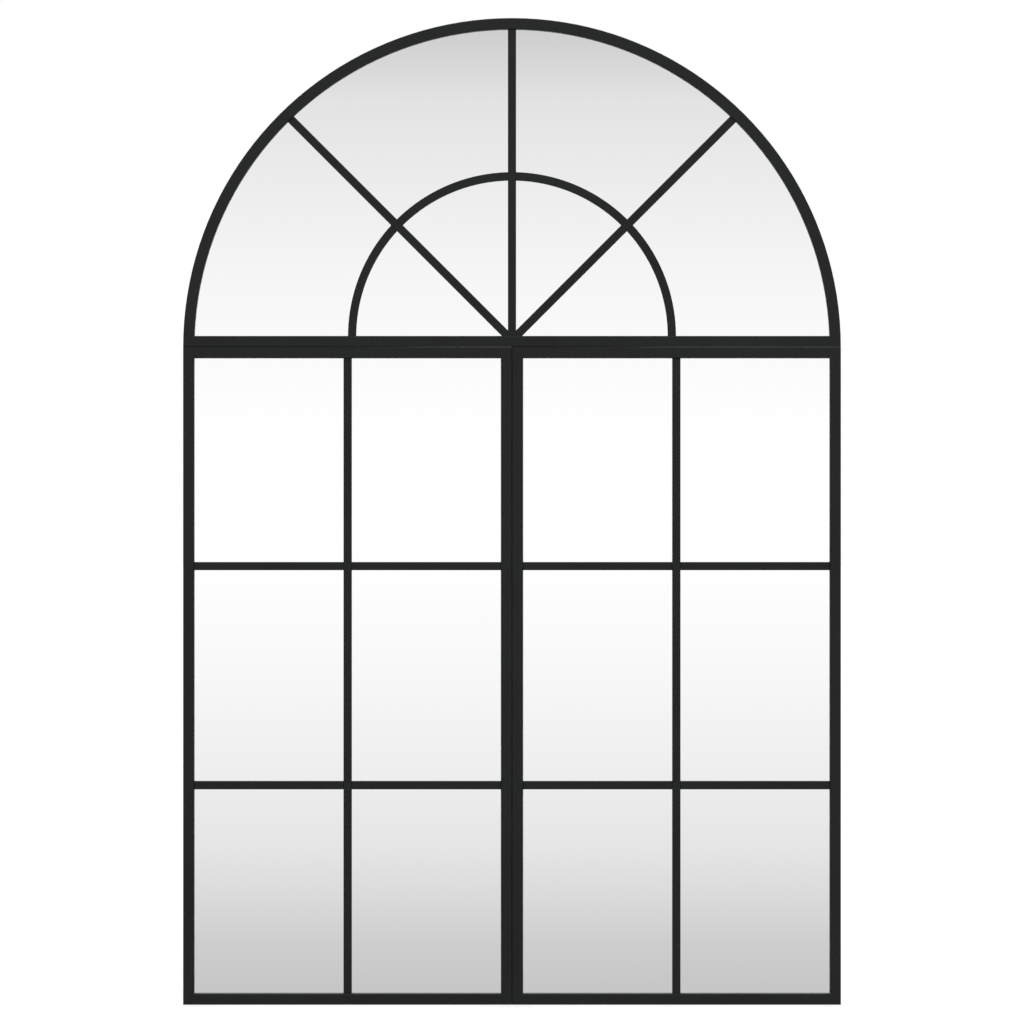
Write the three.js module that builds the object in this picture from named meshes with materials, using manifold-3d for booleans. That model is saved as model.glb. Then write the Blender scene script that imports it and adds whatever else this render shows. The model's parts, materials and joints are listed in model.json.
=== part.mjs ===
// Arched window mirror: three bolted-together steel frames, each glazed from behind.
// Millimetres, +Z up, +X to the viewer's right, the viewer stands on the -Y side.
// The plane y = 0 is the wall, x = 0 the middle, and z = 0 the underside of the lower frames.

import * as THREE from 'three';
import { mergeVertices } from 'three/addons/utils/BufferGeometryUtils.js';
import Module from 'manifold-3d';

// ---- Driving dimensions ----

const WIDTH = 1000; // over the outer stiles; the arch is a half circle of this diameter
const LOWER_HEIGHT = 1000; // floor line to the springing of the arch
const SECTION_GAP = 0.3; // hairline between neighbouring frames

const FRAME_FACE = 16.5; // tube seen from the front
const FRAME_DEPTH = 16.5; // tube seen from the side
const TUBE_WALL = 1.2;
const TUBE_EDGE_RADIUS = 0.8;
const WELD_GAP = 0.3; // root gap left at each mitre and butt joint

const BAR_WIDTH = 12.4; // flat glazing bar
const BAR_THICKNESS = 4;
const BAR_RECESS = 2.5; // bar face behind the tube face
const BAR_EDGE_RADIUS = 0.4;
const FAN_RING_RADIUS = 249.5; // outside of the half ring in the arch
const PANE_ROWS = 3; // rows of panes in each lower frame

const MIRROR_THICKNESS = 4;
const SHEET_CLEARANCE = 0.5; // glass and board inside the tubes, all round

const JOINING_PLATE_THICKNESS = 2;
const CENTER_PLATE_WIDTH = 64;
const END_PLATE_LENGTH = 56;
const END_PLATE_WIDTH = 13;
const STILE_PLATE_HEIGHT = 16;
const STILE_PLATE_Z = 250; // low on the two middle stiles
const PLATE_EDGE_MARGIN = 1.6; // plate edge inside the tube's edge
const PLATE_CORNER_RADIUS = 3;
const CENTER_SCREW_INSET = 10; // end of the centre plate to each lower screw
const END_SCREW_INSET = 8; // end of an end plate to its screw

const SCREW_RADIUS = 2.4;
const SCREW_HEAD_RADIUS = 4.4;
const SCREW_HEAD_HEIGHT = 2.2;
const SCREW_LENGTH = 9; // under the head
const SCREW_SOCKET_RADIUS = 1.7;
const SCREW_SOCKET_DEPTH = 1.3;
const SCREW_CLEARANCE = 0.3;
const BUSH_WALL = 1.1; // collar that the drill pushes up inside the tube
const BUSH_HEIGHT = 2.8;

const BUTTON_REACH = 23; // pivot to the tip of a turn button
const BUTTON_WIDTH = 11;
const BUTTON_THICKNESS = 2.4;
const BUTTON_EDGE_RADIUS = 0.6;
const BUTTON_GAP = 0.3; // between a turn button and what it turns over
const BUTTON_RIB_HEIGHT = 1.2;
const BUTTON_RIB_WIDTH = 1.8;
const STUD_RADIUS = 2.4;
const STUD_CLEARANCE = 0.2;
const STUD_BARB_RADIUS = 3.1;
const STUD_BARB_LENGTH = 2.6;
const ARCH_BUTTON_ANGLE = 50; // degrees each side of the crown
const SIDE_BUTTON_Z = 500;

const TAB_WIDTH = 14;
const TAB_THICKNESS = 1.5;
const TAB_OVERLAP = 9; // over the board's lower edge
const TAB_SPREAD = 125; // either side of the middle of a rail
const TAB_WELD_DEPTH = 0.4;

const HANGER_THICKNESS = 2;
const HANGER_STAND_OFF = 4; // room for a screw head behind the plate
const HANGER_WIDTH = 36;
const HANGER_RISE = 48; // above the arch rail
const HANGER_INSET = 170; // outer edge of the mirror to the middle of a hanger plate
const KEYHOLE_HEAD_RADIUS = 5.2;
const KEYHOLE_SLOT_WIDTH = 5.4;
const KEYHOLE_DROP = 13; // head hole to slot end
const KEYHOLE_TOP_MARGIN = 12; // slot end to the plate's top edge

const BUMPER_RADIUS = 7.5;
const BUMPER_Z = 40;

// ---- Planes and places that follow from them ----

const ARCH_RADIUS = WIDTH / 2;
const HANGER_X = ARCH_RADIUS - HANGER_INSET;
const SPRINGING = LOWER_HEIGHT;
const WALL_PLANE = 0;
const REAR = WALL_PLANE - HANGER_STAND_OFF - HANGER_THICKNESS; // back of the tubes
const FRONT = REAR - FRAME_DEPTH;
const BAR_FRONT = FRONT + BAR_RECESS;
const MIRROR_FRONT = BAR_FRONT + BAR_THICKNESS;
const MIRROR_BACK = MIRROR_FRONT + MIRROR_THICKNESS;
const PLATE_BACK = REAR + JOINING_PLATE_THICKNESS;
const CENTER_SCREW_X = CENTER_PLATE_WIDTH / 2 - CENTER_SCREW_INSET;
const END_SCREW_RISE = END_PLATE_LENGTH / 2 - END_SCREW_INSET; // above and below the springing

const BOW_INNER_RADIUS = ARCH_RADIUS - FRAME_FACE;
const BOW_CENTER_RADIUS = ARCH_RADIUS - FRAME_FACE / 2;
const RAIL_TOP = SPRINGING + FRAME_FACE;
const HUB_Z = RAIL_TOP - BAR_WIDTH / 2; // where the spokes' centre lines meet
const LOWER_TOP = LOWER_HEIGHT - SECTION_GAP;
const INNER_EDGE = SECTION_GAP / 2; // a lower frame's edge next to the middle
const CUT_MARGIN = 5; // how far cutters run past what they cut
const ARC_STEPS = 40; // half the facets along an arc of the arch
const ROUND_STEPS = 16; // facets round a screw, stud or hole
const CORNER_STEPS = 3; // half the facets round a corner of a small plate or lever

// ---- Materials ----

const powderCoat = new THREE.MeshStandardMaterial({ color: 0x28292b, roughness: 0.5, metalness: 0.3 });
const silveredGlass = new THREE.MeshStandardMaterial({ color: 0xeeeeee, roughness: 0.03, metalness: 1 });
const fibreboard = new THREE.MeshStandardMaterial({ color: 0x8a6a48, roughness: 0.85, metalness: 0 });
const zincPlate = new THREE.MeshStandardMaterial({ color: 0xb4b7ba, roughness: 0.35, metalness: 1 });
const nylon = new THREE.MeshStandardMaterial({ color: 0x1d1d1e, roughness: 0.55, metalness: 0 });
const rubber = new THREE.MeshStandardMaterial({ color: 0x2b2b2b, roughness: 0.9, metalness: 0 });

// ---- Solids: cut and join ----

const wasm = await Module();
wasm.setup();

function toSolid(geometry) {
  const bare = geometry.clone();
  bare.deleteAttribute('normal');
  bare.deleteAttribute('uv');
  const merged = mergeVertices(bare, 1e-4);
  return new wasm.Manifold(new wasm.Mesh({
    numProp: 3,
    vertProperties: Float32Array.from(merged.attributes.position.array),
    triVerts: Uint32Array.from(merged.index.array),
  }));
}

function toGeometry(solid) {
  const { vertProperties, triVerts } = solid.getMesh();
  const indexed = new THREE.BufferGeometry();
  indexed.setAttribute('position', new THREE.BufferAttribute(vertProperties, 3));
  indexed.setIndex(new THREE.BufferAttribute(triVerts, 1));
  const geometry = indexed.toNonIndexed();
  geometry.computeVertexNormals();
  return geometry;
}

// An outline in the XZ plane, made solid from y = front to y = back, with its long edges eased.
function slab(outline, front, back, easedBy = 0) {
  const geometry = new THREE.ExtrudeGeometry(outline, {
    depth: back - front - 2 * easedBy,
    curveSegments: ARC_STEPS,
    bevelEnabled: easedBy > 0,
    bevelThickness: easedBy,
    bevelSize: easedBy,
    bevelOffset: -easedBy,
    bevelSegments: 1,
  });
  geometry.rotateX(Math.PI / 2);
  geometry.translate(0, back - easedBy, 0);
  return toSolid(geometry);
}

function polygon(...points) {
  return new THREE.Shape(points.map(([x, z]) => new THREE.Vector2(x, z)));
}

function rectangle(left, right, bottom, top) {
  return polygon([left, bottom], [right, bottom], [right, top], [left, top]);
}

function roundedRectangle(centerX, centerZ, width, height, radius) {
  const x = width / 2 - radius;
  const z = height / 2 - radius;
  const outline = new THREE.Shape();
  outline.absarc(centerX + x, centerZ + z, radius, 0, Math.PI / 2);
  outline.absarc(centerX - x, centerZ + z, radius, Math.PI / 2, Math.PI);
  outline.absarc(centerX - x, centerZ - z, radius, Math.PI, Math.PI * 1.5);
  outline.absarc(centerX + x, centerZ - z, radius, Math.PI * 1.5, Math.PI * 2);
  return outline;
}

function plateSlab(outline, front, back) {
  const geometry = new THREE.ExtrudeGeometry(outline, {
    depth: back - front,
    curveSegments: CORNER_STEPS,
    bevelEnabled: false,
  });
  geometry.rotateX(Math.PI / 2);
  geometry.translate(0, back, 0);
  return toSolid(geometry);
}

// A half ring standing on z = foot, about the centre (0, centerZ).
function halfRing(outerRadius, innerRadius, centerZ, foot) {
  const outline = new THREE.Shape();
  outline.moveTo(outerRadius, foot);
  outline.absarc(0, centerZ, outerRadius, 0, Math.PI);
  outline.lineTo(-outerRadius, foot);
  outline.lineTo(-innerRadius, foot);
  outline.absarc(0, centerZ, innerRadius, Math.PI, 0, true);
  outline.lineTo(innerRadius, foot);
  return outline;
}

function roundBar(radius, front, back, x, z) {
  const geometry = new THREE.CylinderGeometry(radius, radius, back - front, ROUND_STEPS);
  geometry.translate(x, (front + back) / 2, z);
  return toSolid(geometry);
}

// Spun about the Y axis from points of [radius, height].
function turned(profile) {
  return toSolid(new THREE.LatheGeometry(profile.map(([r, y]) => new THREE.Vector2(r, y)), ROUND_STEPS));
}

// ---- The object ----

const mirror = new THREE.Group();

function addPiece(name, solid, material) {
  const mesh = new THREE.Mesh(toGeometry(solid), material);
  mesh.name = name;
  mirror.add(mesh);
  return mesh;
}

// ---- Holes that the hardware needs in the tubes ----

const centerScrews = [
  { name: 'arch', x: 0, z: SPRINGING + FRAME_FACE / 2 },
  { name: 'left', x: -CENTER_SCREW_X, z: LOWER_TOP - FRAME_FACE / 2 },
  { name: 'right', x: CENTER_SCREW_X, z: LOWER_TOP - FRAME_FACE / 2 },
];

function endScrews(side) {
  const x = side * (ARCH_RADIUS - FRAME_FACE / 2);
  return [
    { name: 'upper', x, z: SPRINGING + END_SCREW_RISE },
    { name: 'lower', x, z: SPRINGING - END_SCREW_RISE },
  ];
}

const INNER_STILE_X = INNER_EDGE + FRAME_FACE / 2;
const stileScrews = [
  { name: 'left', x: -INNER_STILE_X, z: STILE_PLATE_Z },
  { name: 'right', x: INNER_STILE_X, z: STILE_PLATE_Z },
];

const allScrews = [...centerScrews, ...endScrews(-1), ...endScrews(1), ...stileScrews];

function archButton(name, angle) {
  const a = THREE.MathUtils.degToRad(angle);
  return {
    name,
    x: BOW_CENTER_RADIUS * Math.cos(a),
    z: SPRINGING + BOW_CENTER_RADIUS * Math.sin(a),
    points: [-Math.cos(a), -Math.sin(a)],
  };
}

function panelButtons(panelName, side) {
  const outer = side * (ARCH_RADIUS - FRAME_FACE / 2);
  const inner = side * INNER_STILE_X;
  return [
    { name: `${panelName}_outer`, x: outer, z: SIDE_BUTTON_Z, points: [-side, 0] },
    { name: `${panelName}_inner`, x: inner, z: SIDE_BUTTON_Z, points: [side, 0] },
    { name: `${panelName}_top`, x: (outer + inner) / 2, z: LOWER_TOP - FRAME_FACE / 2, points: [0, -1] },
  ];
}

const turnButtons = [
  archButton('arch_left', 90 + ARCH_BUTTON_ANGLE),
  archButton('arch_crown', 90),
  archButton('arch_right', 90 - ARCH_BUTTON_ANGLE),
  ...panelButtons('left_panel', -1),
  ...panelButtons('right_panel', 1),
];

// Screw holes get a collar of the tube's own metal; stud holes are plain.
function drillTube(tube, isMine) {
  const inside = REAR - TUBE_WALL;
  let drilled = tube;
  for (const screw of allScrews.filter(isMine)) {
    const holeRadius = SCREW_RADIUS + SCREW_CLEARANCE;
    const collarFront = inside - BUSH_HEIGHT;
    const collar = roundBar(holeRadius + BUSH_WALL, collarFront, REAR - TUBE_WALL / 2, screw.x, screw.z);
    const hole = roundBar(holeRadius, collarFront - CUT_MARGIN, REAR + CUT_MARGIN, screw.x, screw.z);
    drilled = drilled.add(collar).subtract(hole);
  }
  for (const button of turnButtons.filter(isMine)) {
    const holeRadius = STUD_RADIUS + STUD_CLEARANCE;
    const hole = roundBar(holeRadius, inside - TUBE_WALL, REAR + CUT_MARGIN, button.x, button.z);
    drilled = drilled.subtract(hole);
  }
  return drilled;
}

// ---- Frame tubes ----

// The part of the plan on one side of the 45 degree mitre through a frame's corner. along runs
// from the corner down the tube, inward across it, and toward (1 or -1) picks the side to cut off.
function mitreCutter(corner, along, inward, toward) {
  const shift = toward * (WELD_GAP / 2) * Math.SQRT2;
  const reach = 3 * FRAME_FACE;
  const at = (diagonal, sideways) => [0, 1].map(
    (i) => corner[i] + diagonal * (along[i] + inward[i]) + (sideways - shift) * along[i],
  );
  const near = -CUT_MARGIN;
  const far = FRAME_FACE + CUT_MARGIN;
  const cut = polygon(at(near, 0), at(far, 0), at(far, toward * reach), at(near, toward * reach));
  return slab(cut, FRONT - CUT_MARGIN, REAR + CUT_MARGIN);
}

// A straight mitred tube whose outer edge runs from start to end, hollow right through.
function mitredTube(start, end, inward) {
  const along = [Math.sign(end[0] - start[0]), Math.sign(end[1] - start[1])];
  const back = [-along[0], -along[1]];
  const strip = (from, to) => polygon(
    ...[[start, back, from], [end, along, from], [end, along, to], [start, back, to]].map(
      ([point, outward, across]) => [0, 1].map(
        (i) => point[i] + CUT_MARGIN * outward[i] + across * inward[i],
      ),
    ),
  );
  const outside = slab(strip(0, FRAME_FACE), FRONT, REAR, TUBE_EDGE_RADIUS);
  const hollow = slab(strip(TUBE_WALL, FRAME_FACE - TUBE_WALL), FRONT + TUBE_WALL, REAR - TUBE_WALL);
  return outside
    .subtract(hollow)
    .subtract(mitreCutter(start, along, inward, -1))
    .subtract(mitreCutter(end, back, inward, -1));
}

// Tabs welded on a rail's back, under which the lower edge of the board slips.
function tabsOn(railCenterX, railBottom) {
  const foot = railBottom + PLATE_EDGE_MARGIN;
  const railTop = railBottom + FRAME_FACE;
  return [-1, 1].map((side) => {
    const x = railCenterX + side * TAB_SPREAD;
    const left = x - TAB_WIDTH / 2;
    const right = x + TAB_WIDTH / 2;
    const underside = REAR + BUTTON_GAP;
    const strip = slab(
      rectangle(left, right, foot, railTop + TAB_OVERLAP),
      underside,
      underside + TAB_THICKNESS,
    );
    const weld = slab(
      rectangle(left, right, foot, railTop - PLATE_EDGE_MARGIN),
      REAR - TAB_WELD_DEPTH,
      underside + TAB_THICKNESS / 2,
    );
    return strip.add(weld);
  });
}

function withTabs(rail, railCenterX, railBottom) {
  return tabsOn(railCenterX, railBottom).reduce((solid, tab) => solid.add(tab), rail);
}

// ---- Arch: bent bow, rail, fan of glazing bars ----

function buildArchFrame() {
  const left = [-ARCH_RADIUS, SPRINGING];
  const right = [ARCH_RADIUS, SPRINGING];
  const outside = slab(
    halfRing(ARCH_RADIUS, BOW_INNER_RADIUS, SPRINGING, SPRINGING),
    FRONT,
    REAR,
    TUBE_EDGE_RADIUS,
  );
  const hollow = slab(
    halfRing(ARCH_RADIUS - TUBE_WALL, BOW_INNER_RADIUS + TUBE_WALL, SPRINGING, SPRINGING - CUT_MARGIN),
    FRONT + TUBE_WALL,
    REAR - TUBE_WALL,
  );
  const bow = outside
    .subtract(hollow)
    .subtract(mitreCutter(left, [1, 0], [0, 1], 1))
    .subtract(mitreCutter(right, [-1, 0], [0, 1], 1));
  addPiece('arch_bow', drillTube(bow, ({ z }) => z > RAIL_TOP), powderCoat);

  const onRail = ({ z }) => z > SPRINGING && z < RAIL_TOP;
  const rail = drillTube(mitredTube(left, right, [0, 1]), onRail);
  addPiece('arch_rail', withTabs(rail, 0, SPRINGING), powderCoat);
}

// A flat bar of the glazing grille, from its outline in plan.
function barSlab(outline) {
  return slab(outline, BAR_FRONT, MIRROR_FRONT, BAR_EDGE_RADIUS);
}

// The plan of a spoke from the hub outwards at an angle from the crown, widened by extra.
function spokeOutline(angle, extra = 0) {
  const a = THREE.MathUtils.degToRad(angle);
  const half = BAR_WIDTH / 2 + extra;
  const along = [Math.sin(a), Math.cos(a)];
  const across = [Math.cos(a), -Math.sin(a)];
  const at = (distance, side) => [
    distance * along[0] + side * half * across[0],
    HUB_Z + distance * along[1] + side * half * across[1],
  ];
  const start = -2 * BAR_WIDTH;
  return polygon(at(start, -1), at(ARCH_RADIUS, -1), at(ARCH_RADIUS, 1), at(start, 1));
}

function buildFan() {
  const insideRadius = BOW_INNER_RADIUS - WELD_GAP;
  const opening = slab(
    halfRingDisc(insideRadius, SPRINGING, RAIL_TOP + WELD_GAP),
    FRONT - CUT_MARGIN,
    REAR + CUT_MARGIN,
  );
  const cutFor = (angle) => slab(spokeOutline(angle, WELD_GAP), FRONT - CUT_MARGIN, REAR + CUT_MARGIN);

  const upright = barSlab(spokeOutline(0)).intersect(opening);
  addPiece('fan_center_spoke', upright, powderCoat);
  for (const [name, angle] of [['fan_left_spoke', -45], ['fan_right_spoke', 45]]) {
    const half = slab(
      rectangle(...(angle < 0 ? [-WIDTH, 0] : [0, WIDTH]), RAIL_TOP, RAIL_TOP + WIDTH),
      FRONT - CUT_MARGIN,
      REAR + CUT_MARGIN,
    );
    const spoke = barSlab(spokeOutline(angle)).intersect(opening).intersect(half).subtract(cutFor(0));
    addPiece(name, spoke, powderCoat);
  }

  const ring = barSlab(
    halfRing(FAN_RING_RADIUS, FAN_RING_RADIUS - BAR_WIDTH, RAIL_TOP, RAIL_TOP),
  ).intersect(opening);
  const segments = [-45, 0, 45]
    .reduce((solid, angle) => solid.subtract(cutFor(angle)), ring)
    .decompose()
    .sort((a, b) => a.boundingBox().min[0] - b.boundingBox().min[0]);
  const names = ['left_lower', 'left_upper', 'right_upper', 'right_lower'];
  segments.forEach((segment, i) => addPiece(`fan_ring_${names[i]}`, segment, powderCoat));
}

// A disc about (0, centerZ) cut off straight at z = bottom.
function halfRingDisc(radius, centerZ, bottom) {
  const lowAngle = Math.asin((bottom - centerZ) / radius);
  const outline = new THREE.Shape();
  outline.absarc(0, centerZ, radius, lowAngle, Math.PI - lowAngle);
  return outline;
}

// ---- Lower frames: four mitred tubes and a grid of glazing bars ----

function panelPlan(side) {
  const outer = side * ARCH_RADIUS;
  const inner = side * INNER_EDGE;
  return {
    left: Math.min(outer, inner),
    right: Math.max(outer, inner),
    bottom: 0,
    top: LOWER_TOP,
    centerX: (outer + inner) / 2,
    side,
  };
}

function buildPanelFrame(panelName, plan) {
  const { left, right, bottom, top, centerX, side } = plan;
  const inPanel = ({ x, z }) => Math.sign(x) === side && z < top;
  const onTopRail = (spot) => inPanel(spot) && spot.z > top - FRAME_FACE
    && Math.abs(spot.x - centerX) < (right - left) / 2 - FRAME_FACE;
  const onStile = (stileX) => (spot) => inPanel(spot) && !onTopRail(spot)
    && Math.abs(spot.x - stileX) < FRAME_FACE / 2;

  const bottomRail = mitredTube([left, bottom], [right, bottom], [0, 1]);
  addPiece(`${panelName}_bottom_rail`, withTabs(bottomRail, centerX, bottom), powderCoat);
  const topRail = mitredTube([left, top], [right, top], [0, -1]);
  addPiece(`${panelName}_top_rail`, drillTube(topRail, onTopRail), powderCoat);

  const leftStile = mitredTube([left, bottom], [left, top], [1, 0]);
  const rightStile = mitredTube([right, bottom], [right, top], [-1, 0]);
  const leftStileX = left + FRAME_FACE / 2;
  const rightStileX = right - FRAME_FACE / 2;
  const leftName = side < 0 ? 'outer_stile' : 'inner_stile';
  const rightName = side < 0 ? 'inner_stile' : 'outer_stile';
  addPiece(`${panelName}_${leftName}`, drillTube(leftStile, onStile(leftStileX)), powderCoat);
  addPiece(`${panelName}_${rightName}`, drillTube(rightStile, onStile(rightStileX)), powderCoat);
}

function buildPanelBars(panelName, plan) {
  const { left, right, bottom, top, centerX, side } = plan;
  const barEnd = FRAME_FACE + WELD_GAP;
  const half = BAR_WIDTH / 2;
  const upright = rectangle(centerX - half, centerX + half, bottom + barEnd, top - barEnd);
  addPiece(`${panelName}_upright_bar`, barSlab(upright), powderCoat);
  for (let row = 1; row < PANE_ROWS; row += 1) {
    const z = (LOWER_HEIGHT * row) / PANE_ROWS;
    const spans = [
      ['left', left + barEnd, centerX - half - WELD_GAP],
      ['right', centerX + half + WELD_GAP, right - barEnd],
    ];
    for (const [hand, from, to] of spans) {
      const place = (hand === 'left') === (side < 0) ? 'outer' : 'inner';
      const bar = barSlab(rectangle(from, to, z - half, z + half));
      addPiece(`${panelName}_crossbar_${row}_${place}`, bar, powderCoat);
    }
  }
}

// ---- Silvered glass and fibreboard, held against the bars from behind ----

function addSheets(sectionName, outline) {
  addPiece(`${sectionName}_mirror`, slab(outline, MIRROR_FRONT, MIRROR_BACK), silveredGlass);
  addPiece(`${sectionName}_backboard`, slab(outline, MIRROR_BACK, REAR), fibreboard);
}

function panelSheetOutline({ left, right, bottom, top }) {
  const inset = FRAME_FACE + SHEET_CLEARANCE;
  return rectangle(left + inset, right - inset, bottom + inset, top - inset);
}

function archSheetOutline() {
  return halfRingDisc(BOW_INNER_RADIUS - SHEET_CLEARANCE, SPRINGING, RAIL_TOP + SHEET_CLEARANCE);
}

// ---- Joining plates and their screws ----

function screwSolid() {
  const head = SCREW_HEAD_HEIGHT;
  const profile = [
    [0, -SCREW_LENGTH],
    [SCREW_RADIUS - 0.4, -SCREW_LENGTH],
    [SCREW_RADIUS, -SCREW_LENGTH + 0.6],
    [SCREW_RADIUS, 0],
    [SCREW_HEAD_RADIUS, 0],
    [SCREW_HEAD_RADIUS, head * 0.35],
    [SCREW_HEAD_RADIUS * 0.93, head * 0.65],
    [SCREW_HEAD_RADIUS * 0.76, head * 0.88],
    [SCREW_HEAD_RADIUS * 0.55, head],
    [0, head],
  ];
  const depth = 2 * SCREW_SOCKET_DEPTH;
  const socket = new THREE.CylinderGeometry(SCREW_SOCKET_RADIUS, SCREW_SOCKET_RADIUS, depth, 6);
  socket.translate(0, head, 0);
  return turned(profile).subtract(toSolid(socket));
}

function addJoiningPlate(name, outline, screws) {
  const front = REAR - CUT_MARGIN;
  const back = PLATE_BACK + CUT_MARGIN;
  const plate = screws.reduce(
    (solid, { x, z }) => solid.subtract(roundBar(SCREW_RADIUS + SCREW_CLEARANCE, front, back, x, z)),
    plateSlab(outline, REAR, PLATE_BACK),
  );
  addPiece(`joining_plate_${name}`, plate, zincPlate);
  for (const screw of screws) {
    const mesh = addPiece(`joining_screw_${name}_${screw.name}`, screwSolid(), zincPlate);
    mesh.position.set(screw.x, PLATE_BACK, screw.z);
  }
}

function buildJoiningPlates() {
  const seamHeight = 2 * (FRAME_FACE - PLATE_EDGE_MARGIN);
  const seam = (SPRINGING + LOWER_TOP) / 2;
  addJoiningPlate(
    'center',
    roundedRectangle(0, seam, CENTER_PLATE_WIDTH, seamHeight, PLATE_CORNER_RADIUS),
    centerScrews,
  );
  for (const [name, side] of [['left', -1], ['right', 1]]) {
    const x = side * (ARCH_RADIUS - FRAME_FACE / 2);
    addJoiningPlate(
      name,
      roundedRectangle(x, SPRINGING, END_PLATE_WIDTH, END_PLATE_LENGTH, PLATE_CORNER_RADIUS),
      endScrews(side),
    );
  }
  const stileWidth = 2 * (INNER_EDGE + FRAME_FACE - PLATE_EDGE_MARGIN);
  addJoiningPlate(
    'stiles',
    roundedRectangle(0, STILE_PLATE_Z, stileWidth, STILE_PLATE_HEIGHT, PLATE_CORNER_RADIUS),
    stileScrews,
  );
}

// ---- Turn buttons: moulded, each with its own snap-in stud ----

// Pivot on the Y axis, pointing along +X, lying just behind y = 0.
function turnButtonSolid() {
  const half = BUTTON_WIDTH / 2;
  const tipRadius = half * 0.8;
  const outline = new THREE.Shape();
  outline.absarc(0, 0, half, Math.PI / 2, Math.PI * 1.5);
  outline.absarc(BUTTON_REACH - tipRadius, 0, tipRadius, -Math.PI / 2, Math.PI / 2);
  const lever = new THREE.ExtrudeGeometry(outline, {
    depth: BUTTON_THICKNESS - 2 * BUTTON_EDGE_RADIUS,
    curveSegments: CORNER_STEPS,
    bevelThickness: BUTTON_EDGE_RADIUS,
    bevelSize: BUTTON_EDGE_RADIUS,
    bevelOffset: -BUTTON_EDGE_RADIUS,
    bevelSegments: 1,
  });
  lever.rotateX(Math.PI / 2);
  lever.translate(0, BUTTON_GAP + BUTTON_THICKNESS - BUTTON_EDGE_RADIUS, 0);
  const back = BUTTON_GAP + BUTTON_THICKNESS;

  const tip = BUTTON_REACH - tipRadius;
  const ribs = [0, 1, 2].map((i) => slab(
    rectangle(
      tip - i * 2 * BUTTON_RIB_WIDTH - BUTTON_RIB_WIDTH / 2,
      tip - i * 2 * BUTTON_RIB_WIDTH + BUTTON_RIB_WIDTH / 2,
      -tipRadius * 0.7,
      tipRadius * 0.7,
    ),
    back - BUTTON_EDGE_RADIUS,
    back + BUTTON_RIB_HEIGHT - BUTTON_EDGE_RADIUS,
  ));

  const barbStart = -TUBE_WALL - BUTTON_GAP;
  const studProfile = [
    [0, barbStart - STUD_BARB_LENGTH],
    [STUD_RADIUS * 0.8, barbStart - STUD_BARB_LENGTH],
    [STUD_BARB_RADIUS, barbStart],
    [STUD_RADIUS, barbStart],
    [STUD_RADIUS, BUTTON_GAP + BUTTON_THICKNESS / 2],
    [0, BUTTON_GAP + BUTTON_THICKNESS / 2],
  ];
  return ribs.reduce((solid, rib) => solid.add(rib), toSolid(lever)).add(turned(studProfile));
}

function buildTurnButtons() {
  for (const { name, x, z, points } of turnButtons) {
    const mesh = addPiece(`turn_button_${name}`, turnButtonSolid(), nylon);
    mesh.position.set(x, REAR, z);
    mesh.rotation.y = Math.atan2(-points[1], points[0]);
  }
}

// ---- Keyhole hangers: cranked plates welded to the back of the arch rail ----

function hangerSolid() {
  const bottom = SPRINGING + PLATE_EDGE_MARGIN;
  const crankStart = RAIL_TOP - PLATE_EDGE_MARGIN;
  const crankEnd = crankStart + HANGER_STAND_OFF;
  const top = RAIL_TOP + HANGER_RISE;
  const wallSide = WALL_PLANE - HANGER_THICKNESS;
  const bendShift = HANGER_THICKNESS * Math.tan(Math.PI / 8);
  const profile = polygon(
    [REAR, bottom],
    [REAR + HANGER_THICKNESS, bottom],
    [REAR + HANGER_THICKNESS, crankStart - bendShift],
    [WALL_PLANE, crankEnd - bendShift],
    [WALL_PLANE, top],
    [wallSide, top],
    [wallSide, crankEnd],
    [REAR, crankStart],
  );
  const strip = new THREE.ExtrudeGeometry(profile, { depth: HANGER_WIDTH, bevelEnabled: false });
  strip.applyMatrix4(new THREE.Matrix4().makeBasis(
    new THREE.Vector3(0, 1, 0),
    new THREE.Vector3(0, 0, 1),
    new THREE.Vector3(1, 0, 0),
  ));
  strip.translate(-HANGER_WIDTH / 2, 0, 0);

  const slotEnd = top - KEYHOLE_TOP_MARGIN;
  const headZ = slotEnd - KEYHOLE_DROP;
  const half = KEYHOLE_SLOT_WIDTH / 2;
  const front = REAR - CUT_MARGIN;
  const back = WALL_PLANE + CUT_MARGIN;
  return toSolid(strip)
    .subtract(roundBar(KEYHOLE_HEAD_RADIUS, front, back, 0, headZ))
    .subtract(roundBar(half, front, back, 0, slotEnd))
    .subtract(slab(rectangle(-half, half, headZ, slotEnd), front, back));
}

function buildHangers() {
  for (const [name, side] of [['left', -1], ['right', 1]]) {
    const mesh = addPiece(`hanger_plate_${name}`, hangerSolid(), powderCoat);
    mesh.position.x = side * HANGER_X;
  }
}

// ---- Wall bumpers: rubber feet that keep the lower end off the wall ----

function buildBumpers() {
  const height = WALL_PLANE - REAR;
  const profile = [
    [0, 0],
    [BUMPER_RADIUS, 0],
    [BUMPER_RADIUS, height * 0.5],
    [BUMPER_RADIUS * 0.9, height * 0.85],
    [BUMPER_RADIUS * 0.75, height],
    [0, height],
  ];
  for (const [name, side] of [['left', -1], ['right', 1]]) {
    const mesh = addPiece(`wall_bumper_${name}`, turned(profile), rubber);
    mesh.position.set(side * (ARCH_RADIUS - FRAME_FACE / 2), REAR, BUMPER_Z);
  }
}

// ---- Assembly ----

buildArchFrame();
buildFan();
addSheets('arch', archSheetOutline());
for (const [panelName, side] of [['left_panel', -1], ['right_panel', 1]]) {
  const plan = panelPlan(side);
  buildPanelFrame(panelName, plan);
  buildPanelBars(panelName, plan);
  addSheets(panelName, panelSheetOutline(plan));
}
buildJoiningPlates();
buildTurnButtons();
buildHangers();
buildBumpers();

export default mirror;
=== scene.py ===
"""Looks of the arched window mirror: three powder-coated steel frames, glazed with mirror from behind.
Metres, +Z up; the glass faces -Y and the wall side is +Y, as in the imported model."""

import json
import math

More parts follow.
